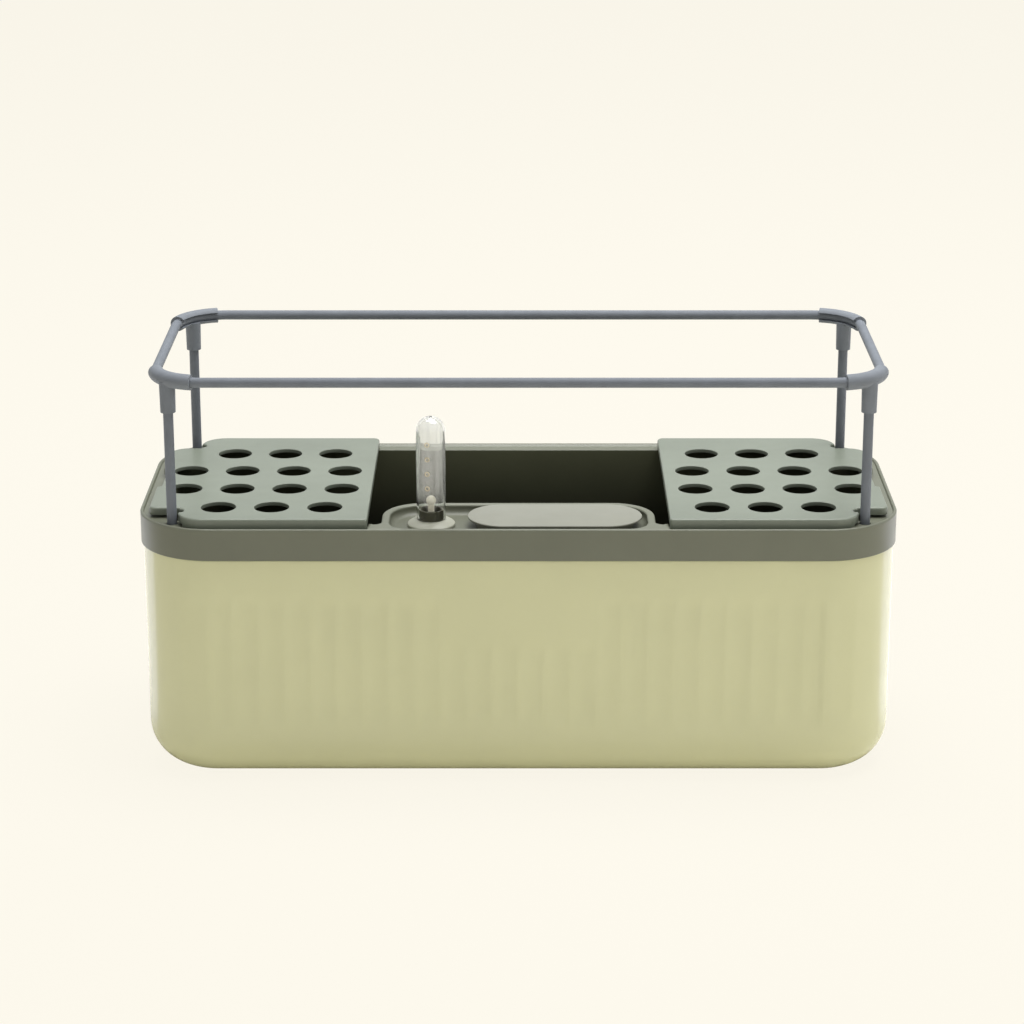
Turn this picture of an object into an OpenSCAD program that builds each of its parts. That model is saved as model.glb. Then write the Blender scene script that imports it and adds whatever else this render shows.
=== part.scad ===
// Self-watering herb planter: reservoir base, lift-out planter insert,
// two mesh covers, fill lid, float gauge and a low trellis.
// Millimetres, +Z up, front along -Y, bottom centre at the origin.

/* [Body] */
// overall length over the rim
body_l = 400; // [340:1:520]
// overall width over the rim
body_w = 160; // [150:1:220]
// height from the floor to the top of the rim
body_h = 141.4; // [130:0.2:180]
// plan radius of the rim corners
corner_r = 40; // [37:0.5:46]
// radius of the rolled bottom edge
bottom_r = 24; // [10:0.5:30]
// thickness of the base wall and floor
wall = 3; // [2.6:0.1:3.6]
// step from the rim face back to the base face
overhang = 1.2; // [0.8:0.1:1.5]
// height of the rim band
rim_h = 17.2; // [16:0.2:22]

/* [Flutes] */
// spacing of the vertical flutes
flute_pitch = 13.6; // [10:0.1:18]
// depth of each flute
flute_depth = 0.7; // [0.3:0.05:1]
// flat land left between two flutes
flute_land = 1.2; // [0.6:0.1:3]
// height where the flutes start
flute_low = 29.6; // [26:0.2:40]
// bare height between the flutes and the rim band
flute_drop = 17.1; // [8:0.1:30]
// bare height above the short flutes of the front field
field_drop = 42; // [34:0.5:60]
// number of short flutes in the front field
field_count = 6; // [2:2:12]

/* [Insert] */
// width of the ledge at the ends of the trough
end_ledge = 12.5; // [11:0.1:14]
// width of the ledge along the sides of the trough
side_ledge = 10; // [9:0.1:11]
// height of the rounded lip above the ledge
lip_h = 1.2; // [1.1:0.1:2]
// thickness of the rounded lip
lip_t = 2; // [1.6:0.1:2.2]
// thickness of the trough wall and deck
trough_wall = 2.4; // [1.8:0.1:2.8]
// height of the trough deck above the floor
deck_z = 46; // [36:0.5:60]
// radius where the trough wall meets the deck
trough_r = 10; // [4:0.5:16]

/* [Service tray] */
// half length of the tray over its flange
tray_half = 71.5; // [66:0.5:76]
// distance from the rim face to the back of the tray
tray_reach = 47.2; // [44:0.2:52]
// width of the tray flange
tray_flange = 4.2; // [3:0.1:5]
// depth of the tray recess
tray_depth = 5; // [4:0.1:6]
// thickness of the tray floor
tray_floor = 2.4; // [1.8:0.1:3]
// radius of the back corners of the tray
tray_r = 22; // [16:0.5:26]

/* [Fill lid] */
// length of the lid
lid_l = 91.3; // [80:0.1:94]
// width of the lid
lid_w = 38; // [30:0.1:38.4]
// gap between the lid and the end of the recess
lid_gap = 2.6; // [1:0.1:4]
// crown of the lid top
lid_crown = 0.7; // [0.2:0.1:1.2]
// radius of the soft top edge of the lid
lid_edge = 0.6; // [0.4:0.1:0.6]
// height of the lid edge above the rim
lid_rise = 0.9; // [0.5:0.1:1.2]
// thickness of the lid plate
lid_plate = 1.2; // [1.2:0.1:2.4]
// inset of the lid foot under the plate
lid_foot = 4.5; // [3:0.1:6]
// width of the fill port
port_w = 18; // [12:0.5:22]

/* [Gauge] */
// distance from the middle of the planter to the gauge
gauge_x = 45.7; // [44:0.1:48]
// diameter of the domed gauge flange
flange_d = 25; // [24:0.1:27]
// height of the gauge flange
flange_h = 4.1; // [3:0.1:4.6]
// outside diameter of the sight tube
tube_d = 15.4; // [14:0.1:16.4]
// wall thickness of the sight tube
tube_wall = 1.1; // [0.8:0.1:1.4]
// height of the sight tube over its dome
tube_h = 55.4; // [53:0.1:61]
// height of the collar at the foot of the tube
collar_h = 5.3; // [3:0.1:7]
// diameter of the float stem
stem_d = 3.4; // [3:0.1:4.4]
// diameter of the indicator ball
ball_d = 5.2; // [5:0.1:7]
// height of the ball above the flange when the reservoir is empty
ball_rise = 9.9; // [9.5:0.1:11]
// outside diameter of the float guide
guide_d = 20; // [18.6:0.1:21]
// height of the float
float_h = 24; // [16:0.5:30]

/* [Covers] */
// distance from the middle of the planter to the cover
cover_in = 78.5; // [76:0.5:84]
// gap between the cover end and the rim face
cover_end = 6.2; // [5.6:0.1:8]
// gap between the cover side and the rim face
cover_side = 4.3; // [3.4:0.1:5.5]
// height of the cover over its skirt
cover_h = 4.2; // [3.6:0.1:5]
// thickness of the cover plate
plate_t = 2.2; // [1.6:0.1:2.8]
// height of the pads under the cover
pad_h = 1.3; // [1:0.1:2.5]
// diameter of the cover holes
hole_d = 18.3; // [10:0.1:20]
// spacing of the holes along a row
hole_pitch = 27.9; // [24:0.1:28.4]
// spacing of the rows
row_pitch = 32.8; // [26:0.1:33.4]
// shift of the hole pattern toward the front
hole_shift = 5; // [0:0.1:5.4]
// width of the finger notch in the cover end
finger_w = 30; // [20:1:40]
// depth of the finger notch
finger_deep = 2.4; // [1.5:0.1:3.2]

/* [Trellis] */
// diameter of the posts and of the ring tube
tube_dia = 5.2; // [4:0.1:5.6]
// height of the ring above the rim top
ring_rise = 76.6; // [74:0.2:110]
// gap between the ring centre line and the rim face at the ends
ring_end = 11.7; // [11.2:0.1:12.2]
// gap between the ring centre line and the rim face at the sides
ring_side = 7.8; // [7.4:0.1:8.2]
// plan radius of the ring corners
ring_r = 26; // [24:0.5:27]
// wall thickness of the corner clips
clip_wall = 1.4; // [1.2:0.1:2]
// arc that one clip covers
clip_arc = 66; // [50:1:84]
// length of the clip socket below the ring
socket_l = 17.6; // [14:0.2:20]

/* [Wicking cups] */
// distance from the end of the planter to each cup
cup_inset = 88; // [70:1:100]
// outside diameter of the cup at the deck
cup_d = 38; // [30:0.5:44]
// number of slots round a cup
cup_slots = 8; // [4:1:10]

/* [Hidden] */
$fa = 5;
$fs = 0.4;
// running clearance between pieces that come apart
clear = 0.4;
// fit clearance between pieces that stay together
snug = 0.1;
half_l = body_l / 2;
half_w = body_w / 2;
rim_z = body_h - rim_h;
ledge_z = body_h - lip_h;
base_half_l = half_l - overhang;
base_half_w = half_w - overhang;
base_r = corner_r - overhang;
spigot_h = 7;
spigot_t = wall - overhang;
trough_half_l = half_l - end_ledge;
trough_half_w = half_w - side_ledge;
trough_corner = corner_r - 8;
under_z = deck_z - trough_wall;
recess_z = body_h - tray_depth;
tray_z = recess_z - tray_floor;
tray_back = half_w - tray_reach;
recess_half = tray_half - tray_flange;
recess_back = -tray_back - tray_flange;
recess_front = -half_w + lip_t + 0.8;
tower_half = recess_half - 1.2;
tower_back = recess_back - 0.4;
lid_r = lid_w / 2;
lid_x = recess_half - lid_gap - lid_l / 2;
lid_y = (recess_back + recess_front) / 2;
lid_run = lid_l / 2 - lid_r;
port_r = port_w / 2;
gauge_y = lid_y;
flange_top = recess_z + flange_h;
guide_in = guide_d - 2.4;
guide_low = wall + 5.2;
guide_plate = 1.5;
float_low = guide_low + guide_plate;
float_top = float_low + float_h;
float_d = guide_in - 2 * clear;
stem_bore = stem_d + 0.8;
ball_z = flange_top + ball_rise;
level_half = cover_in - 0.6;
cover_out = half_l - cover_end;
cover_half_w = half_w - cover_side;
cover_z = ledge_z + pad_h;
hole_start = cover_in + 16.1;
ring_z = body_h + ring_rise;
ring_half_l = half_l - ring_end;
ring_half_w = half_w - ring_side;
post_x = ring_half_l - ring_r * (1 - cos(45));
post_y = ring_half_w - ring_r * (1 - sin(45));
post_low = rim_z + 2;
socket_low = ring_z - socket_l;
post_top = ring_z - tube_dia / 2 - 3;
sleeve_r = tube_dia / 2 + snug + clip_wall;
notch_x = post_x - tube_dia / 2 - 0.45;
notch_y = post_y - tube_dia / 2 - 6.5;
cup_x = half_l - cup_inset;
cup_y = 14;
cup_low = wall + 1.5;
cup_low_d = cup_d * 0.8;

// flat rounded rectangle
module round_rect(a, b, r) {
    square([2 * a, 2 * (b - r)], center = true);
    square([2 * (a - r), 2 * b], center = true);
    for (sx = [-1, 1])
        for (sy = [-1, 1])
            translate([sx * (a - r), sy * (b - r)])
                circle(r);
}

// profile drawn inward from the edge, carried round a rounded rectangle
module round_sweep(a, b, r) {
    for (k = [0 : 3]) {
        sx = (k == 0 || k == 3) ? 1 : -1;
        sy = (k < 2) ? 1 : -1;
        translate([sx * (a - r), sy * (b - r), 0])
            rotate([0, 0, 90 * k])
                rotate_extrude(angle = 90)
                    translate([r, 0])
                        children();
        reach = (k % 2 == 0) ? a : b;
        run = (k % 2 == 0) ? 2 * (b - r) : 2 * (a - r);
        rotate([0, 0, 90 * k])
            translate([reach, run / 2, 0])
                rotate([90, 0, 0])
                    linear_extrude(run)
                        translate([0, 0])
                            children();
    }
}

// edge profile of a block whose bottom edge is rolled
module rolled_edge(r, edge, h) {
    translate([-r, 0])
        square([r - edge, h]);
    translate([-r, edge])
        square([r, h - edge]);
    translate([-edge, edge])
        intersection() {
            circle(edge);
            translate([0, -edge])
                square([edge, edge]);
        }
}

// upright block with rounded corners and a rolled bottom edge
module rolled_block(a, b, r, edge, h) {
    round_sweep(a, b, r)
        rolled_edge(r, edge, h);
    translate([0, 0, h / 2])
        cube([2 * (a - r), 2 * (b - r), h], center = true);
}

// flute cutters along one flat side that faces -Y
module flat_flutes(face, first, last) {
    width = flute_pitch - flute_land;
    bow = (width * width / 4 + flute_depth * flute_depth) / (2 * flute_depth);
    for (i = [first : last])
        translate([(i + 0.5) * flute_pitch, -(face + bow - flute_depth)])
            circle(bow);
}

// shallow flute cutters round one corner
module corner_flutes() {
    step = flute_pitch / base_r * 180 / PI;
    count = max(1, floor(82 / step));
    swing = (step * (1 - flute_land / flute_pitch)) / 2;
    rise = 0.25;
    chord = base_r * sin(swing);
    bow = (chord * chord + rise * rise) / (2 * rise);
    for (i = [0 : count - 1])
        rotate([0, 0, 45 + (i - (count - 1) / 2) * step])
            translate([base_r * cos(swing) - rise + bow, 0])
                circle(bow);
}

module tall_flutes() {
    long_half = round((base_half_l - base_r) / flute_pitch);
    short_half = max(1, round((base_half_w - base_r) / flute_pitch));
    field_half = field_count / 2;
    flat_flutes(base_half_w, field_half, long_half - 1);
    flat_flutes(base_half_w, -long_half, -field_half - 1);
    rotate([0, 0, 180])
        flat_flutes(base_half_w, -long_half, long_half - 1);
    for (turn = [90, 270])
        rotate([0, 0, turn])
            flat_flutes(base_half_l, -short_half, short_half - 1);
    for (k = [0 : 3]) {
        sx = (k == 0 || k == 3) ? 1 : -1;
        sy = (k < 2) ? 1 : -1;
        translate([sx * (base_half_l - base_r), sy * (base_half_w - base_r)])
            rotate([0, 0, 90 * k])
                corner_flutes();
    }
}

module reservoir_base() {
    color([0.77, 0.75, 0.58]) {
        difference() {
            rolled_block(base_half_l, base_half_w, base_r, bottom_r, rim_z);
            translate([0, 0, wall])
                rolled_block(base_half_l - wall, base_half_w - wall, base_r - wall,
                    bottom_r - wall, rim_z);
            translate([0, 0, flute_low])
                linear_extrude(rim_z - flute_drop - flute_low)
                    tall_flutes();
            translate([0, 0, flute_low])
                linear_extrude(rim_z - field_drop - flute_low)
                    flat_flutes(base_half_w, -field_count / 2, field_count / 2 - 1);
        }
        // spigot strips that locate the rim band
        for (side = [-1, 1]) {
            translate([0, side * (base_half_w - wall + spigot_t / 2), rim_z])
                cube([2 * (base_half_l - base_r) - 4, spigot_t, 2 * spigot_h - 0.8], center = true);
            translate([side * (base_half_l - wall + spigot_t / 2), 0, rim_z])
                cube([spigot_t, 2 * (base_half_w - base_r) - 4, 2 * spigot_h - 0.8], center = true);
        }
    }
}

// flat shape of the service tray, run into the front of the rim
module tray_shape() {
    front = -trough_half_w;
    intersection() {
        union() {
            translate([-tray_half, front])
                square([2 * tray_half, -tray_back - tray_r - front]);
            translate([-tray_half + tray_r, front])
                square([2 * (tray_half - tray_r), -tray_back - front]);
            for (side = [-1, 1])
                translate([side * (tray_half - tray_r), -tray_back - tray_r])
                    circle(tray_r);
        }
        translate([-tray_half - 1, front])
            square([2 * tray_half + 2, body_w]);
    }
}

// flat shape of the tray recess
module recess_shape() {
    back_r = tray_r - tray_flange;
    front_r = 10;
    intersection() {
        union() {
            translate([-recess_half, recess_front + front_r])
                square([2 * recess_half, recess_back - back_r - recess_front - front_r]);
            translate([-recess_half + back_r, recess_front])
                square([2 * (recess_half - back_r), recess_back - recess_front]);
            translate([-recess_half + front_r, recess_front])
                square([2 * (recess_half - front_r), recess_back - back_r - recess_front]);
            for (side = [-1, 1]) {
                translate([side * (recess_half - back_r), recess_back - back_r])
                    circle(back_r);
                translate([side * (recess_half - front_r), recess_front + front_r])
                    circle(front_r);
            }
        }
        translate([-recess_half - 1, recess_front])
            square([2 * recess_half + 2, body_w]);
    }
}

// flat pill shape along X
module pill(run, r) {
    square([2 * run, 2 * r], center = true);
    for (side = [-1, 1])
        translate([side * run, 0])
            circle(r);
}

// rim band with its lip, ledge, post sockets and spigot channels
module rim_frame() {
    color([0.40, 0.41, 0.33])
    difference() {
        union() {
            translate([0, 0, rim_z])
                linear_extrude(ledge_z - rim_z)
                    difference() {
                        round_rect(half_l, half_w, corner_r);
                        round_rect(trough_half_l, trough_half_w, trough_corner);
                    }
            // rounded lip
            round_sweep(half_l, half_w, corner_r) {
                translate([-lip_t, ledge_z - 1])
                    square([lip_t, 1 + lip_h - lip_t / 2]);
                translate([-lip_t / 2, body_h - lip_t / 2])
                    circle(lip_t / 2);
            }
            // front of the tray, level with the rim
            translate([-level_half, -half_w + lip_t / 2, ledge_z - 1])
                cube([2 * level_half, side_ledge - lip_t / 2, lip_h + 1]);
        }
        translate([0, 0, recess_z])
            linear_extrude(tray_depth + 1)
                recess_shape();
        for (sx = [-1, 1]) {
            for (sy = [-1, 1])
                translate([sx * post_x, sy * post_y, post_low])
                    cylinder(h = rim_h, r = tube_dia / 2 + clear);
            translate([sx * (base_half_l - wall + spigot_t / 2), 0, rim_z])
                cube([spigot_t + 2 * clear, 2 * (base_half_w - base_r) - 3, 2 * spigot_h], center = true);
            translate([0, sx * (base_half_w - wall + spigot_t / 2), rim_z])
                cube([2 * (base_half_l - base_r) - 3, spigot_t + 2 * clear, 2 * spigot_h], center = true);
        }
    }
}

// trough that hangs under the rim, with seats for the cups
module planting_trough() {
    color([0.30, 0.31, 0.25])
    difference() {
        translate([0, 0, under_z])
            rolled_block(trough_half_l + trough_wall, trough_half_w + trough_wall,
                trough_corner + trough_wall, trough_r + trough_wall, rim_z - under_z);
        translate([0, 0, deck_z])
            rolled_block(trough_half_l, trough_half_w, trough_corner, trough_r, body_h);
        // way from the tower to the reservoir
        translate([-tower_half + 2, -trough_half_w + trough_r, under_z - 1])
            cube([2 * tower_half - 4, trough_half_w - trough_r + tower_back - 2, trough_wall + 2]);
        // way for the float guide
        translate([-gauge_x, gauge_y, under_z - 1])
            cylinder(h = trough_wall + trough_r + 2, r = guide_d / 2 + clear);
        for (sx = [-1, 1])
            translate([sx * cup_x, cup_y, under_z - 1])
                cylinder(h = trough_wall + 2, r = cup_d / 2 + snug);
    }
}

// tray for the gauge and the lid, with the water tower under it
module service_tray() {
    color([0.46, 0.46, 0.39])
    difference() {
        union() {
            translate([0, 0, tray_z])
                linear_extrude(body_h - tray_z)
                    tray_shape();
            translate([-tower_half, -trough_half_w, deck_z])
                cube([2 * tower_half, trough_half_w + tower_back, tray_z - deck_z + 1]);
        }
        translate([0, 0, recess_z])
            linear_extrude(tray_depth + 1)
                recess_shape();
        // tower hollow, open below and closed in front by the trough
        translate([-tower_half + 2, -trough_half_w - 1, deck_z - 1])
            cube([2 * tower_half - 4, trough_half_w + 1 + tower_back - 2, tray_z - deck_z + 1]);
        // room for the rolled edge of the trough
        translate([0, -trough_half_w, deck_z])
            rotate([90, 0, 90])
                translate([0, 0, -tower_half - 1])
                    linear_extrude(2 * tower_half + 2)
                        difference() {
                            translate([-1, -1])
                                square([trough_r + 1, trough_r + 1]);
                            translate([trough_r, trough_r])
                                circle(trough_r);
                        }
        // fill port
        translate([lid_x, lid_y, tray_z - 1])
            linear_extrude(tray_floor + 2)
                pill(lid_run, port_r);
        // gauge port
        translate([-gauge_x, gauge_y, tray_z - 1])
            cylinder(h = tray_floor + 2, r = guide_d / 2 + clear);
    }
}

module wick_cup() {
    difference() {
        union() {
            translate([0, 0, deck_z])
                cylinder(h = 2, r = cup_d / 2 + 3);
            translate([0, 0, under_z])
                cylinder(h = trough_wall + 1, r = cup_d / 2);
            translate([0, 0, cup_low])
                cylinder(h = under_z - cup_low, r1 = cup_low_d / 2, r2 = cup_d / 2);
        }
        translate([0, 0, under_z])
            cylinder(h = trough_wall + 3, r = cup_d / 2 - 2);
        translate([0, 0, cup_low + 2])
            cylinder(h = under_z - cup_low - 2, r1 = cup_low_d / 2 - 2, r2 = cup_d / 2 - 2);
        for (i = [0 : cup_slots - 1])
            rotate([0, 0, i * 360 / cup_slots])
                translate([cup_low_d / 4, -1.5, cup_low + 5])
                    cube([cup_d, 3, under_z - cup_low - 10]);
    }
}

module wick_cup_left() {
    color([0.33, 0.34, 0.28])
        translate([-cup_x, cup_y, 0])
            wick_cup();
}

module wick_cup_right() {
    color([0.33, 0.34, 0.28])
        translate([cup_x, cup_y, 0])
            wick_cup();
}

// cutter that rounds one corner of a flat shape
module soften(x, y, sx, sy, r) {
    translate([x - sx * r, y - sy * r])
        difference() {
            translate([sx > 0 ? 0 : -r - 1, sy > 0 ? 0 : -r - 1])
                square(r + 1);
            circle(r);
        }
}

// plan of the cover on the +X side
module cover_shape() {
    deep = cover_out - notch_x;
    difference() {
        translate([cover_in, -cover_half_w])
            square([cover_out - cover_in, 2 * cover_half_w]);
        // room for the posts
        for (side = [-1, 1]) {
            translate([notch_x, side > 0 ? notch_y : -notch_y - cover_half_w])
                square([deep + 1, cover_half_w]);
            translate([notch_x + 0.6, side * (notch_y + 4.4)])
                circle(3.2);
            soften(cover_in, side * cover_half_w, -1, side, side > 0 ? 3.5 : 1.5);
            soften(notch_x, side * cover_half_w, 1, side, 13);
            soften(cover_out, side * notch_y, 1, side, side > 0 ? 10 : 3.5);
        }
        // finger notch at the end
        translate([cover_out - finger_deep, -finger_w / 2])
            square([finger_deep + 1, finger_w]);
        for (side = [-1, 1])
            translate([cover_out, side * finger_w / 2])
                circle(finger_deep);
        // plant holes, four rows
        for (row = [0 : 3]) {
            outer = (row == 0 || row == 3);
            first = hole_start + (outer ? hole_pitch / 4 : 0);
            for (i = [0 : (outer ? 2 : 3)])
                translate([first + i * hole_pitch, (row - 1.5) * row_pitch - hole_shift])
                    circle(hole_d / 2);
        }
    }
}

module cover() {
    hollow = cover_h - plate_t + 1;
    rest_y = trough_half_w + 0.6;
    difference() {
        translate([0, 0, cover_z])
            linear_extrude(cover_h)
                cover_shape();
        // hollow underside inside the skirt
        translate([cover_in + 2.2, -rest_y, cover_z - 1])
            cube([notch_x - cover_in - 6.2, 2 * rest_y, hollow]);
        translate([notch_x - 5, 4 - notch_y, cover_z - 1])
            cube([cover_out - finger_deep - notch_x + 3, 2 * notch_y - 8, hollow]);
    }
    // pads that rest on the ledge
    for (side = [-1, 1])
        translate([0, 0, ledge_z])
            linear_extrude(pad_h + 0.5)
                intersection() {
                    cover_shape();
                    translate([cover_in, side > 0 ? rest_y : -cover_half_w])
                        square([notch_x - cover_in, cover_half_w - rest_y]);
                }
}

module left_cover() {
    color([0.48, 0.51, 0.44])
        mirror([1, 0, 0])
            cover();
}

module right_cover() {
    color([0.48, 0.51, 0.44])
        cover();
}

// edge profile of the lid, crowned top and soft edge
module lid_edge_shape() {
    high = tray_depth + lid_rise;
    crown_half = lid_r - lid_edge - 1;
    sag = (crown_half * crown_half + lid_crown * lid_crown) / (2 * lid_crown);
    intersection() {
        union() {
            square([lid_r - lid_foot, high]);
            translate([0, high - lid_plate])
                square([lid_r, lid_plate - lid_edge]);
            translate([0, high - lid_plate])
                square([lid_r - lid_edge, lid_plate + 2]);
            translate([lid_r - lid_edge, high - lid_edge])
                circle(lid_edge);
        }
        translate([0, high + lid_crown - sag])
            circle(sag, $fn = 720);
        square([lid_r + 1, high + 3]);
    }
}

module fill_lid() {
    color([0.60, 0.60, 0.54])
    translate([lid_x, lid_y, recess_z])
    difference() {
        union() {
            for (side = [-1, 1])
                translate([side * lid_run, 0, 0])
                    rotate([0, 0, side > 0 ? -90 : 90])
                        rotate_extrude(angle = 180)
                            lid_edge_shape();
            for (turn = [0, 180])
                rotate([0, 0, turn])
                    translate([-lid_run, 0, 0])
                        rotate([90, 0, 90])
                            linear_extrude(2 * lid_run)
                                lid_edge_shape();
            // plug that drops into the port
            translate([0, 0, -tray_floor - 3])
                linear_extrude(tray_floor + 4)
                    pill(lid_run, port_r - clear);
        }
        translate([0, 0, -tray_floor - 4])
            linear_extrude(tray_floor + 6)
                pill(lid_run, port_r - clear - 1.6);
    }
}

module gauge_flange() {
    flat_r = tube_d / 2 + 0.5;
    edge_r = flange_d / 2;
    edge_h = flange_h * 0.4;
    drop = (edge_r * edge_r + edge_h * edge_h - flat_r * flat_r - flange_h * flange_h)
        / (2 * (flange_h - edge_h));
    ball = sqrt(flat_r * flat_r + (flange_h + drop) * (flange_h + drop));
    color([0.55, 0.55, 0.49])
        translate([-gauge_x, gauge_y, recess_z])
            rotate_extrude()
                intersection() {
                    translate([stem_bore / 2, 0])
                        square([edge_r - stem_bore / 2, flange_h]);
                    translate([0, -drop])
                        circle(ball);
                }
}

module gauge_collar() {
    color([0.26, 0.26, 0.19])
        translate([-gauge_x, gauge_y, flange_top])
            difference() {
                cylinder(h = collar_h, r = tube_d / 2 - tube_wall - 0.25);
                translate([0, 0, -1])
                    cylinder(h = collar_h + 2, r = stem_bore / 2);
                translate([0, 0, 1])
                    cylinder(h = collar_h, r = tube_d / 2 - tube_wall - 1.1);
            }
}

module sight_tube() {
    outer = tube_d / 2;
    inner = outer - tube_wall;
    color([0.86, 0.90, 0.90, 0.4])
        translate([-gauge_x, gauge_y, flange_top])
            rotate_extrude()
                difference() {
                    union() {
                        square([outer, tube_h - outer]);
                        translate([0, tube_h - outer])
                            intersection() {
                                circle(outer);
                                square([outer, outer]);
                            }
                    }
                    translate([0, -1])
                        square([inner, tube_h - outer + 1]);
                    translate([0, tube_h - outer])
                        circle(inner);
                    // vent at the top
                    square([0.6, tube_h + 1]);
                }
}

module float_guide() {
    color([0.62, 0.63, 0.58])
        translate([-gauge_x, gauge_y, 0])
            difference() {
                translate([0, 0, guide_low])
                    cylinder(h = recess_z - guide_low, r = guide_d / 2);
                translate([0, 0, float_low])
                    cylinder(h = recess_z, r = guide_in / 2);
                translate([0, 0, guide_low - 1])
                    cylinder(h = guide_plate + 2, r = 4);
                for (turn = [45, 135])
                    rotate([0, 0, turn])
                        translate([0, 0, (float_low + tray_z) / 2])
                            cube([guide_d + 2, 4, tray_z - float_low - 16], center = true);
            }
}

module float() {
    color([0.93, 0.92, 0.86])
        translate([-gauge_x, gauge_y, float_low])
            difference() {
                cylinder(h = float_h, r = float_d / 2);
                translate([0, 0, float_h - 8])
                    cylinder(h = 9, r = stem_d / 2 + snug);
            }
}

module float_stem() {
    color([0.93, 0.92, 0.86])
        translate([-gauge_x, gauge_y, 0]) {
            translate([0, 0, float_top - 8])
                cylinder(h = ball_z - float_top + 8, r = stem_d / 2);
            translate([0, 0, ball_z])
                sphere(ball_d / 2);
        }
}

module post(sx, sy) {
    color([0.42, 0.44, 0.47])
        translate([sx * post_x, sy * post_y, post_low])
            cylinder(h = post_top - post_low, r = tube_dia / 2);
}

module post_front_left() {
    post(-1, -1);
}

module post_front_right() {
    post(1, -1);
}

module post_back_left() {
    post(-1, 1);
}

module post_back_right() {
    post(1, 1);
}

// clip at the corner of the +X +Y side, turned and mirrored for the rest
module clip_solid() {
    color([0.47, 0.48, 0.52])
    difference() {
        union() {
            translate([ring_half_l - ring_r, ring_half_w - ring_r, ring_z])
                rotate([0, 0, 45 - clip_arc / 2])
                    rotate_extrude(angle = clip_arc)
                        translate([ring_r, 0])
                            circle(sleeve_r);
            translate([post_x, post_y, socket_low])
                cylinder(h = socket_l - 1, r1 = sleeve_r - 0.15, r2 = sleeve_r + 0.1);
        }
        // channel for the ring tube, open inward
        translate([ring_half_l - ring_r, ring_half_w - ring_r, ring_z])
            rotate([0, 0, 45 - clip_arc / 2 - 2])
                rotate_extrude(angle = clip_arc + 4)
                    translate([ring_r, 0]) {
                        circle(tube_dia / 2 + snug);
                        translate([-sleeve_r - 1, -tube_dia * 0.4])
                            square([sleeve_r + 1, tube_dia * 0.8]);
                    }
        translate([post_x, post_y, socket_low - 1])
            cylinder(h = post_top - socket_low + 1, r = tube_dia / 2 + snug);
    }
}

module clip_front_left() {
    mirror([1, 0, 0])
        mirror([0, 1, 0])
            clip_solid();
}

module clip_front_right() {
    mirror([0, 1, 0])
        clip_solid();
}

module clip_back_left() {
    mirror([1, 0, 0])
        clip_solid();
}

module clip_back_right() {
    clip_solid();
}

module trellis_ring() {
    color([0.42, 0.44, 0.47])
        translate([0, 0, ring_z])
            round_sweep(ring_half_l, ring_half_w, ring_r)
                circle(tube_dia / 2);
}

reservoir_base();
rim_frame();
planting_trough();
service_tray();
wick_cup_left();
wick_cup_right();
left_cover();
right_cover();
fill_lid();
gauge_flange();
gauge_collar();
sight_tube();
float_guide();
float();
float_stem();
post_front_left();
post_front_right();
post_back_left();
post_back_right();
clip_front_left();
clip_front_right();
clip_back_left();
clip_back_right();
trellis_ring();
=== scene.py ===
import math
import bpy
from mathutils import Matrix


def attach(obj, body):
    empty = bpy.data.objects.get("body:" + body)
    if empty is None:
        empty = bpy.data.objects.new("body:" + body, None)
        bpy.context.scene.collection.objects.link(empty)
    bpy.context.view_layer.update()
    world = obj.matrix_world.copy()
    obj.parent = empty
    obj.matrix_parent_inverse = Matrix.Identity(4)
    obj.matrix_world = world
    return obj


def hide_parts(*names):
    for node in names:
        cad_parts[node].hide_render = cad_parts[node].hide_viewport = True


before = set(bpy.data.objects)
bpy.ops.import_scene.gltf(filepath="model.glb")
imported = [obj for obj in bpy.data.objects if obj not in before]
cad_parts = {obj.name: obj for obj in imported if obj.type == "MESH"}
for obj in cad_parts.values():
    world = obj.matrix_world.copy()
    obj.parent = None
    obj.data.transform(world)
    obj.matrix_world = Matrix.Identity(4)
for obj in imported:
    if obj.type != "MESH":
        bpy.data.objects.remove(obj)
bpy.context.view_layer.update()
print("frame loaded", len(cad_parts), "nodes")

scene = bpy.context.scene
scene.view_settings.view_transform = "Standard"


# camera, where the photo was taken from

photoCamera = {"place": (0.0, -1.5485, 0.618), "pitch": 17.637, "lens": 105.06, "sensor": 36, "shiftX": -0.00635,
               "clip": (0.05, 60)}

bpy.ops.object.camera_add(location=photoCamera["place"])
viewCam = bpy.context.object
viewCam.name = "viewCam"
viewCam.rotation_euler = (math.radians(90 - photoCamera["pitch"]), 0, 0)
viewCam.data.lens = photoCamera["lens"]
viewCam.data.sensor_width = photoCamera["sensor"]
viewCam.data.shift_x = photoCamera["shiftX"]
viewCam.data.clip_start, viewCam.data.clip_end = photoCamera["clip"]
scene.camera = viewCam
print("camera set")


# small helpers, with the distances (m) and the angles (degrees) that count as touching, flat or sharp

meshing = {"weld": 0.000002, "fineWeld": 0.000001, "close": 0.00001, "near": 0.00002, "flat": 0.4, "sharp": 38,
           "smooth": 35, "normalWeight": 60}


def deselectAll():
    if bpy.context.object and bpy.context.object.mode != "OBJECT":
        bpy.ops.object.mode_set(mode="OBJECT")
    bpy.ops.object.select_all(action="DESELECT")


def makeActive(piece):
    deselectAll()
    piece.select_set(True)
    bpy.context.view_layer.objects.active = piece


def enterEdit(piece):
    makeActive(piece)
    bpy.ops.object.mode_set(mode="EDIT")


def leaveEdit():
    bpy.ops.object.mode_set(mode="OBJECT")


def applyPlace():
    bpy.ops.object.transform_apply(location=True, rotation=True, scale=True)


def applyAll(piece):
    makeActive(piece)
    for mod in list(piece.modifiers):
        bpy.ops.object.modifier_apply(modifier=mod.name)


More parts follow.
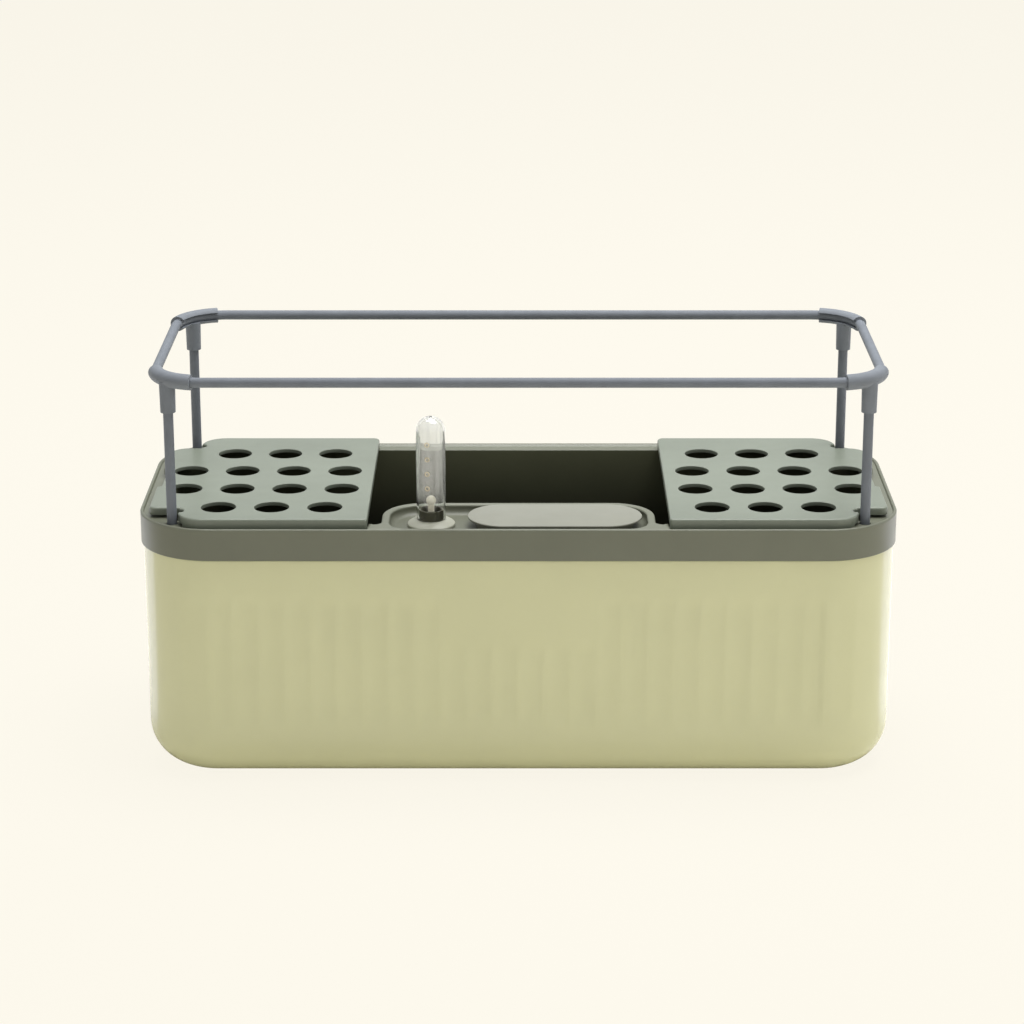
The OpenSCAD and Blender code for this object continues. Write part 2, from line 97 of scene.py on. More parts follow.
def joinAll(pieces):
    # all become part of the first one
    deselectAll()
    for piece in pieces:
        piece.select_set(True)
    bpy.context.view_layer.objects.active = pieces[0]
    bpy.ops.object.join()


def fuseWith(piece, other, way):
    fuse = piece.modifiers.new("fuse", "BOOLEAN")
    fuse.operation = way
    fuse.solver = "EXACT"
    fuse.object = other
    applyAll(piece)
    bpy.data.objects.remove(other)


def cleanFlats(piece, angle=meshing["flat"]):
    # weld the loose triangles and join the ones that lie flat
    enterEdit(piece)
    bpy.ops.mesh.select_all(action="SELECT")
    bpy.ops.mesh.remove_doubles(threshold=meshing["weld"])
    bpy.ops.mesh.dissolve_limited(angle_limit=math.radians(angle))
    leaveEdit()


def splitFlats(piece):
    # a flat with holes in it stays flat through the rounding when it is in triangles
    enterEdit(piece)
    bpy.ops.mesh.select_all(action="SELECT")
    bpy.ops.mesh.quads_convert_to_tris(ngon_method="BEAUTY")
    leaveEdit()


def refillFlat(piece, height):
    # lay the flat at this height anew, so that no triangle in it is folded over by the rounding
    enterEdit(piece)
    bpy.ops.mesh.select_mode(type="FACE")
    bpy.ops.mesh.select_all(action="DESELECT")
    leaveEdit()
    points = piece.data.vertices
    for face in piece.data.polygons:
        face.select = all(abs(points[i].co.z - height) < meshing["weld"] for i in face.vertices)
    enterEdit(piece)
    bpy.ops.mesh.delete(type="FACE")
    bpy.ops.mesh.select_mode(type="EDGE")
    bpy.ops.mesh.select_all(action="DESELECT")
    bpy.ops.mesh.select_non_manifold(use_wire=False, use_multi_face=False, use_non_contiguous=False, use_verts=False)
    bpy.ops.mesh.fill(use_beauty=True)
    bpy.ops.mesh.select_all(action="SELECT")
    bpy.ops.mesh.normals_make_consistent(inside=False)
    leaveEdit()


def smoothEdges(piece, angle=meshing["smooth"]):
    makeActive(piece)
    bpy.ops.object.shade_smooth_by_angle(angle=math.radians(angle))
    weigh = piece.modifiers.new("evenNormals", "WEIGHTED_NORMAL")
    weigh.keep_sharp = True
    weigh.weight = meshing["normalWeight"]
    applyAll(piece)


def copyNode(node, name):
    piece = bpy.data.objects.new(name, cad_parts[node].data.copy())
    scene.collection.objects.link(piece)
    return piece


def softenSharp(piece, width, segments=3):
    roundOff = piece.modifiers.new("roundOff", "BEVEL")
    roundOff.width = width
    roundOff.segments = segments
    roundOff.limit_method = "ANGLE"
    roundOff.angle_limit = math.radians(meshing["sharp"])
    roundOff.use_clamp_overlap = True
    roundOff.miter_outer = "MITER_ARC"
    applyAll(piece)


def markSharp(piece):
    enterEdit(piece)
    bpy.ops.mesh.select_mode(type="EDGE")
    bpy.ops.mesh.select_all(action="DESELECT")
    bpy.ops.mesh.edges_select_sharp(sharpness=math.radians(meshing["sharp"]))
    leaveEdit()


def roundPicked(piece, wanted, width, segments):
    # round the sharp edges whose two ends both answer to the wanted test
    markSharp(piece)
    points = piece.data.vertices
    picked = [edge.index for edge in piece.data.edges
              if edge.select and all(wanted(points[i].co) for i in edge.vertices)]
    enterEdit(piece)
    bpy.ops.mesh.select_all(action="DESELECT")
    leaveEdit()
    for i in picked:
        piece.data.edges[i].select = True
    enterEdit(piece)
    bpy.ops.mesh.bevel(offset=width, segments=segments, profile=0.5, affect="EDGES", clamp_overlap=False,
                       loop_slide=False)
    leaveEdit()
    print("rounded", len(picked), "edges of", piece.name)


def finishPiece(piece, body, material, nodes):
    piece.data.materials.clear()
    piece.data.materials.append(material)
    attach(piece, body)
    if nodes:
        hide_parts(*nodes)


def addNode(nt, kind, sockets=None, operation=None):
    node = nt.nodes.new("ShaderNode" + kind)
    if operation:
        node.operation = operation
    for socket, value in (sockets or {}).items():
        node.inputs[socket].default_value = value
    return node


# finishes

mould = {"mottleDetail": 4, "mottleRoughness": 0.6, "mottleStops": (0.3, 0.7), "driftScale": 3.1, "driftDetail": 3,
         "driftSpread": 0.06, "grainDetail": 2, "grainHeight": 0.0002, "ior": 1.46, "specular": 0.5}


def mouldedPlastic(name, look):
    # faint mottling, slow roughness drift and a fine sprayed grain
    mat = bpy.data.materials.new(name)
    mat.use_nodes = True
    nt = mat.node_tree
    link = nt.links.new
    bsdf = nt.nodes["Principled BSDF"]
    bsdf.inputs["IOR"].default_value = mould["ior"]
    bsdf.inputs["Specular IOR Level"].default_value = look.get("specular", mould["specular"])
    coord = addNode(nt, "TexCoord")
    mottle = addNode(nt, "TexNoise", {"Scale": look["mottleScale"], "Detail": mould["mottleDetail"],
                                      "Roughness": mould["mottleRoughness"]})
    tint = addNode(nt, "ValToRGB")
    for i, shift in enumerate((-look["mottle"], look["mottle"])):
        tint.color_ramp.elements[i].position = mould["mottleStops"][i]
        tint.color_ramp.elements[i].color = (*(min(1.0, c * (1 + shift)) for c in look["colour"]), 1)
    drift = addNode(nt, "TexNoise", {"Scale": look["mottleScale"] * mould["driftScale"],
                                     "Detail": mould["driftDetail"]})
    rough = addNode(nt, "MapRange", {"To Min": look["roughness"] - mould["driftSpread"],
                                     "To Max": look["roughness"] + mould["driftSpread"]})
    grain = addNode(nt, "TexNoise", {"Scale": look["grainScale"], "Detail": mould["grainDetail"]})
    bump = addNode(nt, "Bump", {"Strength": look["grain"], "Distance": mould["grainHeight"]})
    for tex in (mottle, drift, grain):
        link(coord.outputs["Object"], tex.inputs["Vector"])
    link(mottle.outputs["Fac"], tint.inputs["Fac"])
    if "paintedShade" in look:
        # painted shade: darker toward the bottom, where less light reaches down the trough wall
        low, high, dark = look["paintedShade"]
        split = addNode(nt, "SeparateXYZ")
        depth = addNode(nt, "MapRange", {"From Min": low, "From Max": high, "To Min": dark, "To Max": 1})
        shade = addNode(nt, "VectorMath", operation="SCALE")
        link(coord.outputs["Object"], split.inputs["Vector"])
        link(split.outputs["Z"], depth.inputs["Value"])
        link(tint.outputs["Color"], shade.inputs[0])
        link(depth.outputs["Result"], shade.inputs["Scale"])
        link(shade.outputs["Vector"], bsdf.inputs["Base Color"])
    else:
        link(tint.outputs["Color"], bsdf.inputs["Base Color"])
    link(drift.outputs["Fac"], rough.inputs["Value"])
    link(rough.outputs["Result"], bsdf.inputs["Roughness"])
    link(grain.outputs["Fac"], bump.inputs["Height"])
    link(bump.outputs["Normal"], bsdf.inputs["Normal"])
    return mat


def clearPlastic(name, look):
    # clear wall with a whitish haze in upright streaks, more or less of it by height, as painted reflection and
    # painted highlight of the bright surroundings
    mat = bpy.data.materials.new(name)
    mat.use_nodes = True
    nt = mat.node_tree
    link = nt.links.new
    bsdf = nt.nodes["Principled BSDF"]
    bsdf.inputs["Base Color"].default_value = (*look["colour"], 1)
    bsdf.inputs["IOR"].default_value = look["ior"]
    coord = addNode(nt, "TexCoord")
    drift = addNode(nt, "TexNoise", {"Scale": look["driftScale"]})
    rough = addNode(nt, "MapRange", {"To Max": look["roughness"]})
    stretch = addNode(nt, "Mapping", {"Scale": (1, 1, look["streakStretch"])})
    streak = addNode(nt, "TexNoise", {"Scale": look["streakScale"]})
    amount = addNode(nt, "MapRange", {"From Min": look["streakSpan"][0], "From Max": look["streakSpan"][1],
                                      "To Min": look["paintedReflection"][0], "To Max": look["paintedReflection"][1]})
    split = addNode(nt, "SeparateXYZ")
    place = addNode(nt, "MapRange", {"From Min": look["low"], "From Max": look["high"]})
    height = addNode(nt, "ValToRGB")
    spots = height.color_ramp.elements
    spots.new(0.5)
    spots.new(0.75)
    for spot, (z, level) in zip(spots, look["reflectionHeights"]):
        spot.position = (z - look["low"]) / (look["high"] - look["low"])
        spot.color = (level, level, level, 1)
    paintedReflection = addNode(nt, "Math", operation="MULTIPLY")
    clear = addNode(nt, "Math", {0: 1}, "SUBTRACT")
    link(coord.outputs["Object"], drift.inputs["Vector"])
    link(drift.outputs["Fac"], rough.inputs["Value"])
    link(rough.outputs["Result"], bsdf.inputs["Roughness"])
    link(coord.outputs["Object"], stretch.inputs["Vector"])
    link(stretch.outputs["Vector"], streak.inputs["Vector"])
    link(streak.outputs["Fac"], amount.inputs["Value"])
    link(coord.outputs["Object"], split.inputs["Vector"])
    link(split.outputs["Z"], place.inputs["Value"])
    link(place.outputs["Result"], height.inputs["Fac"])
    link(amount.outputs["Result"], paintedReflection.inputs[0])
    link(height.outputs["Color"], paintedReflection.inputs[1])
    link(paintedReflection.outputs["Value"], clear.inputs[1])
    link(clear.outputs["Value"], bsdf.inputs["Transmission Weight"])
    return mat


plasticLooks = {
    "sagePlastic": {"colour": (0.51, 0.507, 0.31), "mottle": 0.02, "mottleScale": 14, "roughness": 0.16,
                    "grain": 0.02, "grainScale": 1500},
    "olivePlastic": {"colour": (0.122, 0.128, 0.092), "mottle": 0.05, "mottleScale": 22, "roughness": 0.42,
                     "grain": 0.12, "grainScale": 1500},
    "coverPlastic": {"colour": (0.158, 0.178, 0.141), "mottle": 0.05, "mottleScale": 26, "roughness": 0.38,
                     "grain": 0.1, "grainScale": 1600},
    "lidPlastic": {"colour": (0.197, 0.199, 0.163), "mottle": 0.04, "mottleScale": 30, "roughness": 0.46,
                   "grain": 0.12, "grainScale": 1700},
    "trayPlastic": {"colour": (0.33, 0.335, 0.27), "mottle": 0.05, "mottleScale": 30, "roughness": 0.44,
                    "grain": 0.12, "grainScale": 1700},
    "collarPlastic": {"colour": (0.06, 0.058, 0.036), "mottle": 0.12, "mottleScale": 60, "roughness": 0.4,
                      "grain": 0.1, "grainScale": 1700},
    "guidePlastic": {"colour": (0.4, 0.4, 0.35), "mottle": 0.05, "mottleScale": 40, "roughness": 0.5,
                     "grain": 0.1, "grainScale": 1700},
    "creamPlastic": {"colour": (0.82, 0.79, 0.66), "mottle": 0.05, "mottleScale": 80, "roughness": 0.45,
                     "grain": 0.1, "grainScale": 1800},
    "coatedTube": {"colour": (0.148, 0.162, 0.184), "mottle": 0.07, "mottleScale": 90, "roughness": 0.58,
                   "specular": 0.15, "grain": 0.16, "grainScale": 2200},
    "clipPlastic": {"colour": (0.165, 0.18, 0.202), "mottle": 0.06, "mottleScale": 90, "roughness": 0.58,
                    "specular": 0.15, "grain": 0.14, "grainScale": 2000},
    # darker copy of the olive, painted shade for the tray's recess
    "recessShadePlastic": {"colour": (0.095, 0.1, 0.069), "mottle": 0.05, "mottleScale": 22, "roughness": 0.46,
                      "grain": 0.12, "grainScale": 1500},
    "cupPlastic": {"colour": (0.1, 0.102, 0.07), "mottle": 0.08, "mottleScale": 40, "roughness": 0.5,
                   "grain": 0.12, "grainScale": 1500},
    "markPlastic": {"colour": (0.62, 0.54, 0.4), "mottle": 0.06, "mottleScale": 90, "roughness": 0.4,
                    "grain": 0.08, "grainScale": 1800},
    # paintedShade: painted shade in the trough, darker toward the bottom, from this height to that one, and the share
    # of the colour left at the lower
    "troughShadePlastic": {"colour": (0.1, 0.105, 0.062), "mottle": 0.08, "mottleScale": 22, "roughness": 0.55,
                      "specular": 0.25, "grain": 0.12, "grainScale": 1500, "paintedShade": (0.1, 0.14, 0.18)},
}
# reflectionHeights: height and share of the painted reflection haze there
clearLook = {"colour": (0.97, 0.98, 0.97), "ior": 1.49, "roughness": 0.03, "driftScale": 160, "streakScale": 420,
             "streakStretch": 0.04, "streakSpan": (0.35, 0.65), "paintedReflection": (0.08, 0.24), "low": 0.14, "high": 0.2,
             "reflectionHeights": ((0.148, 0.0), (0.153, 0.7), (0.168, 1.0), (0.188, 1.0))}

finishes = {name: mouldedPlastic(name, look) for name, look in plasticLooks.items()}
finishes["clearTube"] = clearPlastic("clearTube", clearLook)
print("finishes made", len(finishes))


# reservoir tub, wrapped from one sheet so that the flutes stay smooth

# bendShare: depth of the flutes round a corner, for the two ways that a corner is walked
tub = {"halfLength": 0.1988, "halfWidth": 0.0788, "corner": 0.0388, "roll": 0.024, "top": 0.1242, "wall": 0.003,
       "pitch": 0.0136, "land": 0.0012, "depth": 0.0009, "low": 0.0296, "high": 0.1071, "fieldHigh": 0.0822,
       "fieldHalf": 3, "longHalf": 12, "shortHalf": 3, "fade": 0.011, "edge": 0.0006, "step": 0.00136, "turns": 44,
       "bendFlutes": 4, "bendShare": ((0.7, 0.2, 0, 0), (0, 0, 0.2, 0.7)),
       "rollSteps": 14, "fadeSteps": 7, "edgeSteps": 4, "bowlSteps": 10,
       "plainRows": (0.0285, 0.05, 0.066, 0.095, 0.112, 0.118), "lastRow": 0.003, "innerRows": (0.1, 0.07, 0.045),
       "smooth": 40}


def tubOutline():
    # one walk round: path x and y, outward x and y, kind of wall, measure along it and way round a corner
    coreX = tub["halfLength"] - tub["corner"]
    coreY = tub["halfWidth"] - tub["corner"]
    walk = []

    def flat(length, middle, along, out, kind):
        count = round(length / tub["step"])
        for i in range(count):
            t = -length / 2 + length * i / count
            walk.append((middle[0] + along[0] * t, middle[1] + along[1] * t, out[0], out[1], kind, t, 0))

    def bend(x, y, start, way):
        for i in range(tub["turns"]):
            t = 90 * i / tub["turns"]
            angle = math.radians(start + t)
            walk.append((x, y, math.cos(angle), math.sin(angle), "bend", t, way))

    flat(2 * coreX, (0, -coreY), (1, 0), (0, -1), "front")
    bend(coreX, -coreY, -90, 0)
    flat(2 * coreY, (coreX, 0), (0, 1), (1, 0), "end")
    bend(coreX, coreY, 0, 1)
    flat(2 * coreX, (0, coreY), (-1, 0), (0, 1), "back")
    bend(-coreX, coreY, 90, 0)
    flat(2 * coreY, (-coreX, 0), (0, -1), (-1, 0), "end")
    bend(-coreX, -coreY, 180, 1)
    return walk


def wrapSheet(name, rows, reachAt):
    # lay a sheet of points round the walk, row after row, and weld its two ends
    walk = tubOutline()
    columns = len(walk)
    deselectAll()
    bpy.ops.mesh.primitive_grid_add(x_subdivisions=columns, y_subdivisions=len(rows) - 1, size=1)
    sheet = bpy.context.object
    sheet.name = name
    places = []
    for row in rows:
        for i in range(columns + 1):
            spot = walk[i % columns]
            reach, z = reachAt(row, spot)
            places += (spot[0] + spot[2] * reach, spot[1] + spot[3] * reach, z)
    sheet.data.vertices.foreach_set("co", places)
    sheet.data.update()
    enterEdit(sheet)
    bpy.ops.mesh.select_all(action="SELECT")
    bpy.ops.mesh.remove_doubles(threshold=meshing["fineWeld"])
    leaveEdit()
    return sheet


def scallop(u, depth):
    # u runs from 0 to 1 over one flute, with a narrow land at each side
    share = abs(2 * u - 1) / (1 - tub["land"] / tub["pitch"])
    return depth * max(0.0, 1 - share * share)


def fluteDepth(kind, t, way):
    # depth at this place, and the height where the flute ends
    if kind == "bend":
        step = math.degrees(tub["pitch"] / tub["corner"])
        first = 45 - tub["bendFlutes"] / 2 * step
        place = (t - first) / step
        if 0 <= place <= tub["bendFlutes"]:
            share = tub["bendShare"][way][min(tub["bendFlutes"] - 1, int(place))]
            return scallop(place % 1, tub["depth"] * share), tub["high"]
        return 0.0, tub["high"]
    half = tub["shortHalf"] if kind == "end" else tub["longHalf"]
    place = t / tub["pitch"]
    if abs(place) > half:
        return 0.0, tub["high"]
    high = tub["fieldHigh"] if kind == "front" and abs(place) < tub["fieldHalf"] else tub["high"]
    return scallop(place % 1, tub["depth"]), high


def ease(x):
    x = min(1.0, max(0.0, x))
    return x * x * (3 - 2 * x)


def quarterTurn(steps):
    angles = [math.radians(90 * i / steps) for i in range(steps + 1)]
    return [(math.sin(angle), math.cos(angle)) for angle in angles]


def tubRows():
    # (inset, height, flutes on this row) from the outer bottom, over the top, to the inner floor
    roll, wall, edge, fade = tub["roll"], tub["wall"], tub["edge"], tub["fade"]
    rows = [(roll * (1 - sin), roll * (1 - cos), True) for sin, cos in quarterTurn(tub["rollSteps"])]
    heights = [*tub["plainRows"], tub["top"] - tub["lastRow"]]
    for start in (tub["low"], tub["fieldHigh"] - fade, tub["high"] - fade):
        heights += [start + fade * i / tub["fadeSteps"] for i in range(tub["fadeSteps"] + 1)]
    rows += [(0.0, z, True) for z in sorted(heights)]
    rim = quarterTurn(tub["edgeSteps"])
    rows += [(edge * (1 - cos), tub["top"] - edge + edge * sin, False) for sin, cos in rim]
    rows += [(wall - edge + edge * sin, tub["top"] - edge + edge * cos, False) for sin, cos in rim]
    rows += [(wall, z, False) for z in tub["innerRows"]]
    inner = roll - wall
    rows += [(wall + inner * (1 - cos), wall + inner * (1 - sin), False)
             for sin, cos in quarterTurn(tub["bowlSteps"])]
    return rows


def tubReach(row, spot):
    inset, z, fluted = row
    reach = tub["corner"] - inset
    if fluted:
        depth, high = fluteDepth(*spot[4:])
        fade = ease((z - tub["low"]) / tub["fade"]) * ease((high - z) / tub["fade"])
        reach -= depth * fade
    return reach, z


def buildTub():
    piece = wrapSheet("tubShell", tubRows(), tubReach)
    enterEdit(piece)
    bpy.ops.mesh.select_all(action="DESELECT")
    bpy.ops.mesh.select_mode(type="EDGE")
    bpy.ops.mesh.select_non_manifold()
    bpy.ops.mesh.edge_face_add()  # closes the bottom and the inner floor
    bpy.ops.mesh.select_all(action="SELECT")
    bpy.ops.mesh.normals_make_consistent(inside=False)
    leaveEdit()
    return piece


# thin strips on the tub's top edge that locate the rim
spigot = {"setBack": 0.0012, "short": 0.004, "height": 0.0068, "rise": 0.003, "round": 0.0004, "steps": 2}


def buildSpigots():
    strips = []
    thick = tub["wall"] - spigot["setBack"]
    z = tub["top"] + spigot["rise"]
    for side in (-1, 1):
        for longWay in (True, False):
            deselectAll()
            bpy.ops.mesh.primitive_cube_add(size=1)
            strip = bpy.context.object
            along, over = ("halfLength", "halfWidth") if longWay else ("halfWidth", "halfLength")
            run = 2 * (tub[along] - tub["corner"]) - spigot["short"]
            off = side * (tub[over] - tub["wall"] + thick / 2)
            strip.scale = (run, thick, spigot["height"]) if longWay else (thick, run, spigot["height"])
            strip.location = (0, off, z) if longWay else (off, 0, z)
            applyPlace()
            softenSharp(strip, spigot["round"], spigot["steps"])
            strips.append(strip)
    return strips


tubShell = buildTub()
joinAll([tubShell, *buildSpigots()])
smoothEdges(tubShell, tub["smooth"])
finishPiece(tubShell, "base", finishes["sagePlastic"], ["reservoir_base"])
print("tub", len(tubShell.data.polygons), "faces")


# rim, trough and tray, moulded as one insert

insert = {"halfLength": 0.2, "halfWidth": 0.08, "corner": 0.04, "foot": 0.1242, "top": 0.1414, "ledge": 0.1402,
          "edge": 0.001, "edgeSteps": 4, "fineEdge": 0.0005, "fineSteps": 3, "footMargin": 0.0001, "joinFlat": 0.5,
          # trough
          "troughHalfLength": 0.1875, "troughHalfWidth": 0.07, "mouthMargin": 0.001, "skinMargin": 0.0002,
          "skinLow": 0.044, "skinRise": 0.0056, "skinTilt": 0.2, "underTray": (0.0045, -0.0325),
          # tray and its recess
          "trayHalf": 0.0715, "trayLow": 0.134, "trayBack": -0.03, "trayFront": -0.0778, "floor": 0.1364,
          "seamGap": 0.00005, "seamShort": 0.0002, "bowl": 0.0036, "bowlSteps": 8,
          "recessHalf": 0.0674, "recessFront": -0.0773, "recessBack": -0.0355, "recessMargin": 0.0001,
          "lidPlace": (0.01905, -0.0571), "lidRun": 0.02665, "gaugePlace": (-0.0457, -0.0571), "portClear": 0.0125,
          # hollow corners beside the tray
          "rootRadius": 0.004, "rootLap": 0.0005, "scoopSides": 64, "scoopDepth": 0.05,
          # ramp from the lip to the ledge
          "lipInset": 0.001, "lipRun": 0.0012, "lipRunBack": 0.0022, "lipDrop": 0.00002, "lipRoot": 0.0012,
          "lipSteps": 10}


def trayRoot(side):
    # hollow corner where the tray end runs into the front rim
    r, lap, low = insert["rootRadius"], insert["rootLap"], insert["trayLow"]
    x, y = side * insert["trayHalf"], -insert["troughHalfWidth"]
    high = insert["top"] - low
    deselectAll()
    bpy.ops.mesh.primitive_cube_add(size=1, location=(x + side * (r / 2 - lap), y + r / 2 - lap, low + high / 2))
    root = bpy.context.object
    root.scale = (r + 2 * lap, r + 2 * lap, high)
    applyPlace()
    bpy.ops.mesh.primitive_cylinder_add(vertices=insert["scoopSides"], radius=r, depth=insert["scoopDepth"],
                                        location=(x + side * r, y + r, low))
    scoop = bpy.context.object
    applyPlace()
    fuseWith(root, scoop, "DIFFERENCE")
    return root


def lipReach(row, spot):
    share, z = row
    run = insert["lipRun"] + insert["lipRunBack"] * max(0.0, spot[3])
    return insert["corner"] - insert["lipInset"] - share * run, z


def lipRamp():
    # ring that lets the lip run softly into the ledge, widest at the back, closed and sunk into the rim
    crest, ledge = insert["top"] - insert["lipDrop"], insert["ledge"] - insert["lipDrop"]
    root = insert["ledge"] - insert["lipRoot"]
    shares = [i / insert["lipSteps"] for i in range(insert["lipSteps"] + 1)]
    rows = [(0, root), *((share, crest - (crest - ledge) * ease(share)) for share in shares), (1, root), (0, root)]
    ring = wrapSheet("lipRing", rows, lipReach)
    enterEdit(ring)
    bpy.ops.mesh.select_all(action="SELECT")
    bpy.ops.mesh.normals_make_consistent(inside=False)
    leaveEdit()
    return ring


def onRecessEdge(p):
    # foot of the recess wall, away from the two ports in its floor
    alongLid = max(0.0, abs(p.x - insert["lidPlace"][0]) - insert["lidRun"])
    offLid = math.hypot(alongLid, p.y - insert["lidPlace"][1])
    offGauge = math.hypot(p.x - insert["gaugePlace"][0], p.y - insert["gaugePlace"][1])
    inTray = abs(p.x) < insert["trayHalf"] and insert["trayFront"] < p.y < insert["trayBack"]
    onFloor = abs(p.z - insert["floor"]) < meshing["close"]
    return inTray and onFloor and min(offLid, offGauge) > insert["portClear"]


def onTrayTop(p):
    # upper edge of the tray, but not its seam with the rim
    reach = insert["trayHalf"] + insert["rootRadius"] + insert["mouthMargin"]
    atSeam = abs(p.y + insert["troughHalfWidth"]) < insert["seamGap"]
    onSeam = atSeam and abs(p.x) < insert["trayHalf"] - insert["seamShort"]
    onTop = abs(p.z - insert["top"]) < meshing["near"]
    return onTop and p.y < insert["trayBack"] and abs(p.x) < reach and not onSeam


def onTroughMouth(p):
    inLength = abs(p.x) < insert["troughHalfLength"] + insert["mouthMargin"]
    inWidth = abs(p.y) < insert["troughHalfWidth"] + insert["mouthMargin"]
    return abs(p.z - insert["ledge"]) < meshing["near"] and inLength and inWidth


def onRimFoot(p):
    # outer edge at the foot of the rim band
    alongX = max(0.0, abs(p.x) - insert["halfLength"] + insert["corner"])
    alongY = max(0.0, abs(p.y) - insert["halfWidth"] + insert["corner"])
    onFoot = abs(p.z - insert["foot"]) < meshing["near"]
    return onFoot and math.hypot(alongX, alongY) > insert["corner"] - insert["footMargin"]


def buildInsert():
    shell = copyNode("rim_frame", "insertShell")
    cleanFlats(shell)
    for node in ("planting_trough", "service_tray"):
        other = copyNode(node, node + "Copy")
        cleanFlats(other)
        fuseWith(shell, other, "UNION")
    for side in (-1, 1):
        fuseWith(shell, trayRoot(side), "UNION")
    fuseWith(shell, lipRamp(), "UNION")
    cleanFlats(shell, insert["joinFlat"])
    splitFlats(shell)
    roundPicked(shell, onRecessEdge, insert["bowl"], insert["bowlSteps"])
    roundPicked(shell, onTrayTop, insert["edge"], insert["edgeSteps"])
    roundPicked(shell, onTroughMouth, insert["fineEdge"], insert["fineSteps"])
    roundPicked(shell, onRimFoot, insert["fineEdge"], insert["fineSteps"])
    for height in (insert["top"], insert["ledge"], insert["floor"]):
        refillFlat(shell, height)
    return shell


def inTrough(face):
    # inner skin of the trough, which takes the painted shade: turned up, or turned toward the middle, and not under
    # the tray
    middle, turned = face.center, face.normal
    coreX = insert["troughHalfLength"] - insert["corner"]
    coreY = insert["troughHalfWidth"] - insert["corner"]
    outX = middle.x - max(-coreX, min(coreX, middle.x))
    outY = middle.y - max(-coreY, min(coreY, middle.y))
    inBox = (abs(middle.x) < insert["troughHalfLength"] + insert["skinMargin"]
             and abs(middle.y) < insert["troughHalfWidth"] + insert["skinMargin"]
             and insert["skinLow"] < middle.z < insert["trayLow"] + insert["skinRise"])
    underTray = (abs(middle.x) < insert["trayHalf"] + insert["underTray"][0] and middle.y < insert["underTray"][1])
    inward = turned.z > insert["skinTilt"] or turned.x * outX + turned.y * outY < 0
    return inBox and inward and not underTray


def inRecess(face):
    # faces of the tray's recess, which take the painted shade
    middle = face.center
    return (abs(middle.x) < insert["recessHalf"] and insert["recessFront"] < middle.y < insert["recessBack"]
            and insert["floor"] - insert["recessMargin"] < middle.z < insert["top"] - insert["edge"])


insertShell = buildInsert()
smoothEdges(insertShell)
finishPiece(insertShell, "insert", finishes["olivePlastic"],
            ["rim_frame", "planting_trough", "service_tray"])
# the trough's inside takes a darker copy of the olive, with painted shade deepening toward the bottom
insertShell.data.materials.append(finishes["troughShadePlastic"])
# the tray's recess takes a darker copy of the olive as painted shade
insertShell.data.materials.append(finishes["recessShadePlastic"])
for face in insertShell.data.polygons:
    if inTrough(face):
        face.material_index = 1
    elif inRecess(face):
        face.material_index = 2
print("insert", len(insertShell.data.polygons), "faces")


# vented covers: a full round on the outside, a fine one on the holes and underneath

coverForm = {"top": 0.1457, "low": 0.1415, "firstHole": 0.0946, "pitch": 0.0279, "rowPitch": 0.0328, "shift": 0.005,
             "rows": 4, "outerCount": 3, "innerCount": 4, "holeRadius": 0.00915, "holeNear": 0.0003, "slack": 0.0001,
             "outerRound": 0.001, "outerSteps": 4, "fineRound": 0.0003, "fineSteps": 2, "thinReach": 1.3}


def onHole(point):
    # the first and last rows have one hole less and start a quarter of the pitch further out
    for row in range(coverForm["rows"]):
        outer = row in (0, coverForm["rows"] - 1)
        first = coverForm["firstHole"] + (coverForm["pitch"] / 4 if outer else 0)
        y = (row - (coverForm["rows"] - 1) / 2) * coverForm["rowPitch"] - coverForm["shift"]
        for i in range(coverForm["outerCount"] if outer else coverForm["innerCount"]):
            off = math.hypot(abs(point.x) - first - i * coverForm["pitch"], point.y - y)
            if abs(off - coverForm["holeRadius"]) < coverForm["holeNear"]:
                return True
    return False


def onCoverTop(p):
    return p.z > coverForm["top"] - coverForm["slack"] and not onHole(p)


def onCoverHole(p):
    return p.z > coverForm["low"] - coverForm["slack"] and onHole(p)


def onCoverFoot(p):
    return p.z < coverForm["low"] + coverForm["slack"] and not onHole(p)


def thinCorners(piece, reach):
    # drop the short arc steps beside the sharp upright corners, so that the round has room there
    markSharp(piece)
    points = piece.data.vertices
    corners = set()
    for edge in piece.data.edges:
        a, b = (points[i].co for i in edge.vertices)
        upright = (a.xy - b.xy).length < meshing["close"]
        if edge.select and upright and max(a.z, b.z) > coverForm["top"] - coverForm["slack"]:
            corners.add((round(a.x, 6), round(a.y, 6)))
    for point in points:
        gap, x, y = min((math.hypot(point.co.x - x, point.co.y - y), x, y) for x, y in corners)
        if gap < reach and not onHole(point.co):
            point.co.x, point.co.y = x, y
    enterEdit(piece)
    bpy.ops.mesh.select_all(action="SELECT")
    bpy.ops.mesh.remove_doubles(threshold=meshing["weld"])
    leaveEdit()
    print("corners", len(corners), "on", piece.name)


for name, node, body in (("coverLeft", "left_cover", "cover_left"), ("coverRight", "right_cover", "cover_right")):
    piece = copyNode(node, name)
    cleanFlats(piece)
    splitFlats(piece)
    thinCorners(piece, coverForm["outerRound"] * coverForm["thinReach"])
    roundPicked(piece, onCoverTop, coverForm["outerRound"], coverForm["outerSteps"])
    roundPicked(piece, onCoverHole, coverForm["fineRound"], coverForm["fineSteps"])
    roundPicked(piece, onCoverFoot, coverForm["fineRound"], coverForm["fineSteps"])
    smoothEdges(piece)
    finishPiece(piece, body, finishes["coverPlastic"], [node])
print("covers rounded")


# pieces whose solids are right and only need soft edges and a finish

